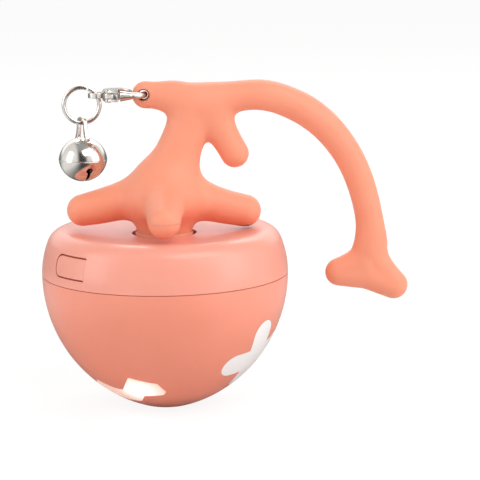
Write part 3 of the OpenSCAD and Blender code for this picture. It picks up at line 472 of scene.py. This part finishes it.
def settle(verts, limbs, times, probe=0.02, longest=0.4):
    """Moves points onto the skin along its slope, by a short way each time."""
    for _ in range(times):
        gap = skin_gap(verts, limbs)
        rise = [skin_gap(verts + d, limbs) - skin_gap(verts - d, limbs) for d in np.eye(3) * probe]
        slope = np.stack(rise, 1) / (2 * probe)
        move = gap[:, None] * slope / np.maximum((slope**2).sum(1), 0.2)[:, None]
        verts = verts - np.clip(move, -longest, longest)
    return verts


def topper_plug():
    """The plug below the neck, with two ribs that grip the socket."""
    plug_z = HOLE_Z - SOCKET_DEPTH + PLUG_LIFT
    wide = NECK_D / 2
    profile = [(0, plug_z), (wide - 0.4, plug_z), (wide, plug_z + 0.4)]
    for z in (plug_z + place for place in RIB_PLACES):
        profile += [(wide, z), (RIB_R - RIB_EDGE, z), (RIB_R, z + RIB_EDGE), (RIB_R, z + RIB_H - RIB_EDGE),
                    (RIB_R - RIB_EDGE, z + RIB_H), (wide, z + RIB_H)]
    profile += [(wide, HOLE_Z + 0.1), (wide - 0.5, HOLE_Z + PLUG_RISE), (0, HOLE_Z + PLUG_RISE)]
    return revolve(profile, 96)


def make_topper(step=0.8):
    """The topper's skin over the blended limbs, with its plug and its eyelet."""
    limbs = smooth_limbs()
    low = np.min([(l[:, :3] - l[:, 3:]).min(0) for l, _ in limbs], 0) - 3 * step
    high = np.max([(l[:, :3] + l[:, 3:]).max(0) for l, _ in limbs], 0) + 3 * step
    axes = [np.arange(a, b + step, step) for a, b in zip(low, high)]
    grid = np.stack(np.meshgrid(*axes, indexing="ij"), -1)
    values = skin_gap(grid.reshape(-1, 3), limbs).reshape(grid.shape[:3])
    keep = 0.1 * step
    values = np.where(np.abs(values) < keep, np.where(values < 0, -keep, keep), values)
    values = open_diagonals(values, keep)
    verts, quads = surface_net(values, low, step)
    verts = settle(verts, limbs, 3)
    plug_v, plug_f = topper_plug()
    start = len(verts)
    faces = [tuple(q) for q in quads] + [tuple(i + start for i in f) for f in plug_f]
    obj = new_object("topper_skin", np.concatenate([verts, np.array(plug_v)]) * MM, faces)
    weld(obj)
    carve(obj, eyelet_cutter())
    sharp_edges(obj, 50)
    return obj


def eyelet_cutter():
    """A pin with a waist, where the soft hole closes in on the hook, that flares as it leaves the nub."""
    half, flare_from, waist_to, waist = 3.6, 1.7, 1.8, 0.38
    depth = np.linspace(-half, half, 37)
    flare = 0.3 * np.maximum(0, (np.abs(depth) - flare_from) / 0.8) ** 2
    grip = np.clip(waist_to - np.abs(depth), 0, 1)
    wide = EYELET_D / 2 + flare - waist * grip * grip * (3 - 2 * grip)
    profile = [(0, depth[0])] + list(zip(wide, depth)) + [(0, depth[-1])]
    verts, faces = revolve(profile, 72)
    turned = [(EYELET[0] + x, z, EYELET[1] - y) for x, y, z in verts]
    obj = new_object("eyelet_cutter", np.array(turned) * MM, faces)
    weld(obj)
    return obj


def carve(obj, cutter):
    """Cuts one closed mesh out of another and removes it."""
    cut = obj.modifiers.new("cut", "BOOLEAN")
    cut.operation = "DIFFERENCE"
    cut.solver = "EXACT"
    cut.object = cutter
    done = bpy.data.meshes.new_from_object(obj.evaluated_get(bpy.context.evaluated_depsgraph_get()))
    obj.modifiers.clear()
    obj.data = done
    bpy.data.objects.remove(cutter)


def make_mould_lines(radius=0.16, sides=8):
    """The fine seam that the mould leaves round the front and back arms, half sunk in the skin."""
    limbs = smooth_limbs()
    verts, faces = [], []
    for k in (1, 3):
        axis = rounded(np.array([(x, 0, HOLE_Z + z, r) for x, z, r in ARM], float))
        axis = axis[axis[:, 0] > 12]
        end = axis[-1]
        turn = np.linspace(-math.pi / 2, math.pi / 2, 33)
        tip = [(end[0] + end[3] * math.cos(a), end[3] * math.sin(a), end[2]) for a in turn]
        path = [(x, -r, z) for x, _, z, r in axis[:-1]] + tip + [(x, r, z) for x, _, z, r in axis[:-1][::-1]]
        c, s = math.cos(k * math.pi / 2), math.sin(k * math.pi / 2)
        path = settle(np.array([(x * c - y * s, x * s + y * c, z) for x, y, z in path]), limbs, 4)
        along = np.gradient(path, axis=0)
        along /= np.linalg.norm(along, axis=1)[:, None]
        up = np.array([0.0, 0.0, 1.0]) - along * along[:, 2:]
        up /= np.linalg.norm(up, axis=1)[:, None]
        out = np.cross(along, up)
        size = radius * np.minimum(1, np.sin(np.linspace(0, math.pi, len(path))) * 3 + 0.05)
        start = len(verts)
        for i in range(len(path)):
            for j in range(sides):
                b = 2 * math.pi * j / sides
                verts.append(path[i] + size[i] * (0.55 * math.cos(b) * out[i] + math.sin(b) * up[i]))
        for i in range(len(path) - 1):
            for j in range(sides):
                m = (j + 1) % sides
                a, b = start + i * sides, start + (i + 1) * sides
                faces.append((a + j, b + j, b + m, a + m))
        faces.append(tuple(start + j for j in range(sides)))
        faces.append(tuple(start + (len(path) - 1) * sides + j for j in reversed(range(sides))))
    obj = new_object("mould_lines", np.array(verts) * MM, faces)
    weld(obj)
    return obj


# Ring

def make_ring():
    """Round wire bent to a ring, with its two cut ends a little apart."""
    sweep, around = 144, 24
    verts, faces = [], []
    for i in range(sweep + 1):
        a = math.radians(RING_JOINT + (360 - RING_GAP) * i / sweep)
        for k in range(around):
            b = 2 * math.pi * k / around
            r = RING_R + RING_WIRE / 2 * math.cos(b)
            verts.append((RING[0] + r * math.cos(a), -RING_WIRE / 2 * math.sin(b), RING[1] + r * math.sin(a)))
    for i in range(sweep):
        for k in range(around):
            m = (k + 1) % around
            faces.append((i * around + k, i * around + m, (i + 1) * around + m, (i + 1) * around + k))
    faces.append(tuple(range(around)))
    faces.append(tuple(reversed(range(sweep * around, (sweep + 1) * around))))
    obj = new_object("ring_wire", np.array(verts) * MM, faces)
    weld(obj)
    sharp_edges(obj, 50)
    return obj


def make_all():
    """Dresses the CAD nodes and adds the pieces that stand in for some of them."""
    mats = make_materials()
    slots = {s["node"]: s["material_slot"] for s in frame["record"]["subparts"]}
    for name, obj in NODES.items():
        dress(obj, mats[slots[name]])

    def piece(obj, body, slot, *nodes):
        dress(obj, mats[slot])
        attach(obj, body)
        if nodes:
            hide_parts(*nodes)

    piece(make_topper(), "topper", "silicone", "topper")
    piece(make_mould_lines(), "topper", "silicone")
    piece(make_ring(), "ring", "nickel", "split_ring")


# Studio

def make_camera():
    """The photograph's viewpoint, for a square frame."""
    place = Vector((0, -0.55, 0.147))
    forward = (Vector((0, 0, 0.045)) - place).normalized()
    right = Vector((1, 0, 0))
    up = right.cross(forward)
    roll = math.radians(1.0)
    x = right * math.cos(roll) - up * math.sin(roll)
    y = right * math.sin(roll) + up * math.cos(roll)
    cam = bpy.data.cameras.new("camera")
    cam.sensor_width = 36
    cam.lens = 147.45
    cam.shift_x = 0.1571
    cam.shift_y = 0.0150
    cam.clip_start = 0.01
    cam.clip_end = 20
    obj = bpy.data.objects.new("camera", cam)
    obj.matrix_world = Matrix.Translation(place) @ Matrix((x, y, -forward)).transposed().to_4x4()
    bpy.context.scene.collection.objects.link(obj)
    bpy.context.scene.camera = obj


def add_lamp(name, place, target, size, watts):
    data = bpy.data.lights.new(name, "AREA")
    data.shape = "RECTANGLE"
    data.size, data.size_y = size
    data.energy = watts
    obj = bpy.data.objects.new(name, data)
    obj.location = place
    obj.rotation_euler = (Vector(target) - Vector(place)).to_track_quat("-Z", "Y").to_euler()
    bpy.context.scene.collection.objects.link(obj)


def ramp(nodes, links, value, start, end, low, top):
    """Runs smoothly from low to top while the value goes from start to end."""
    made = nodes.new("ShaderNodeMapRange")
    made.interpolation_type = "SMOOTHSTEP"
    links.new(value, made.inputs["Value"])
    for key, number in (("From Min", start), ("From Max", end), ("To Min", low), ("To Max", top)):
        made.inputs[key].default_value = number
    return made.outputs["Result"]


def joined(nodes, links, kind, *values):
    """Takes values through one math node."""
    made = nodes.new("ShaderNodeMath")
    made.operation = kind
    for socket, value in zip(made.inputs, values):
        links.new(value, socket)
    return made.outputs[0]


def studio_gloss(nodes, links):
    """What shiny things mirror: bright sides, a lit wall high up behind, a dark room in front."""
    ways = nodes.new("ShaderNodeSeparateXYZ")
    links.new(nodes.new("ShaderNodeTexCoord").outputs["Generated"], ways.inputs[0])
    across, along, up = (ways.outputs[axis] for axis in "XYZ")
    wide = joined(nodes, links, "ABSOLUTE", across)
    sides = joined(nodes, links, "MULTIPLY", ramp(nodes, links, wide, 0.2, 0.5, 0.05, 1.0),
                   ramp(nodes, links, along, 0.3, 0.8, 1.0, 0.25))
    behind = joined(nodes, links, "MULTIPLY", ramp(nodes, links, along, 0.2, 0.7, 0.0, 1.4),
                    ramp(nodes, links, up, 0.06, 0.22, 0.15, 1.0))
    above = ramp(nodes, links, up, 0.7, 0.95, 0.05, 0.45)
    return joined(nodes, links, "MAXIMUM", joined(nodes, links, "MAXIMUM", sides, behind), above)


def make_world():
    """Even light all round, white where the camera sees it, and walls for gloss to mirror."""
    world = bpy.data.worlds.new("studio")
    bpy.context.scene.world = world
    world.use_nodes = True
    nodes, links = world.node_tree.nodes, world.node_tree.links
    path = nodes.new("ShaderNodeLightPath")
    light = nodes["Background"]
    light.inputs["Color"].default_value = (1, 0.985, 0.97, 1)
    light.inputs["Strength"].default_value = 0.5
    gloss = studio_gloss(nodes, links)
    below = light.outputs[0]
    for ray, strength in (("Is Glossy Ray", gloss), ("Is Camera Ray", None), ("Is Transmission Ray", None)):
        layer = nodes.new("ShaderNodeBackground")
        layer.inputs["Color"].default_value = (1, 1, 1, 1)
        layer.inputs["Strength"].default_value = 1.0
        if strength is not None:
            links.new(strength, layer.inputs["Strength"])
        below = layered(nodes, links, path.outputs[ray], below, layer.outputs[0])
    links.new(below, nodes["World Output"].inputs["Surface"])


def layered(nodes, links, share, below, above):
    """Lays one shader over another by a share."""
    mix = nodes.new("ShaderNodeMixShader")
    for socket, value in zip(mix.inputs, (share, below, above)):
        links.new(value, socket)
    return mix.outputs[0]


def make_floor(size=3.0, lit_share=0.85):
    """Pale paper that stays near white to the camera and keeps the object's shadow."""
    corners = [(-size, -size, 0), (size, -size, 0), (size, size, 0), (-size, size, 0)]
    floor = new_object("floor", corners, [(0, 1, 2, 3)])
    mat = bpy.data.materials.new("floor_paper")
    mat.use_nodes = True
    nodes, links = mat.node_tree.nodes, mat.node_tree.links
    paper = nodes["Principled BSDF"]
    paper.inputs["Roughness"].default_value = 0.9
    fibre = nodes.new("ShaderNodeTexNoise")
    fibre.inputs["Scale"].default_value = 40.0
    tone = nodes.new("ShaderNodeMix")
    tone.data_type = "RGBA"
    tone.inputs[6].default_value = (0.85, 0.85, 0.85, 1)
    tone.inputs[7].default_value = (0.87, 0.87, 0.87, 1)
    links.new(fibre.outputs["Fac"], tone.inputs["Factor"])
    links.new(tone.outputs[2], paper.inputs["Base Color"])
    path = nodes.new("ShaderNodeLightPath")
    glow = nodes.new("ShaderNodeEmission")
    glow.inputs["Strength"].default_value = 1.05
    dim = nodes.new("ShaderNodeEmission")
    ways = nodes.new("ShaderNodeSeparateXYZ")
    links.new(nodes.new("ShaderNodeTexCoord").outputs["Object"], ways.inputs[0])
    sides = ramp(nodes, links, joined(nodes, links, "ABSOLUTE", ways.outputs["X"]), 0.03, 0.13, 0.08, 1.0)
    front = ramp(nodes, links, ways.outputs["Y"], 0.05, 0.25, 1.0, 0.2)
    links.new(joined(nodes, links, "MULTIPLY", sides, front), dim.inputs["Strength"])
    seen = nodes.new("ShaderNodeMath")
    seen.operation = "MULTIPLY"
    links.new(path.outputs["Is Camera Ray"], seen.inputs[0])
    seen.inputs[1].default_value = lit_share
    top = layered(nodes, links, seen.outputs[0], paper.outputs[0], glow.outputs[0])
    top = layered(nodes, links, path.outputs["Is Glossy Ray"], top, dim.outputs[0])
    links.new(top, nodes["Material Output"].inputs["Surface"])
    floor.data.materials.append(mat)


def make_lamps():
    target = (0.01, 0, 0.05)
    add_lamp("key", (0.38, -0.55, 0.85), target, (0.8, 0.5), 4.6)
    add_lamp("right_box", (0.8, -0.35, 0.35), target, (0.5, 0.7), 2.4)
    add_lamp("left_box", (-0.8, -0.3, 0.35), target, (0.4, 0.7), 2.3)
    add_lamp("back_top", (0.1, 0.7, 0.8), target, (0.8, 0.5), 3.0)


make_camera()
make_world()
make_floor()
make_lamps()
bpy.context.scene.view_settings.view_transform = "Standard"
make_all()
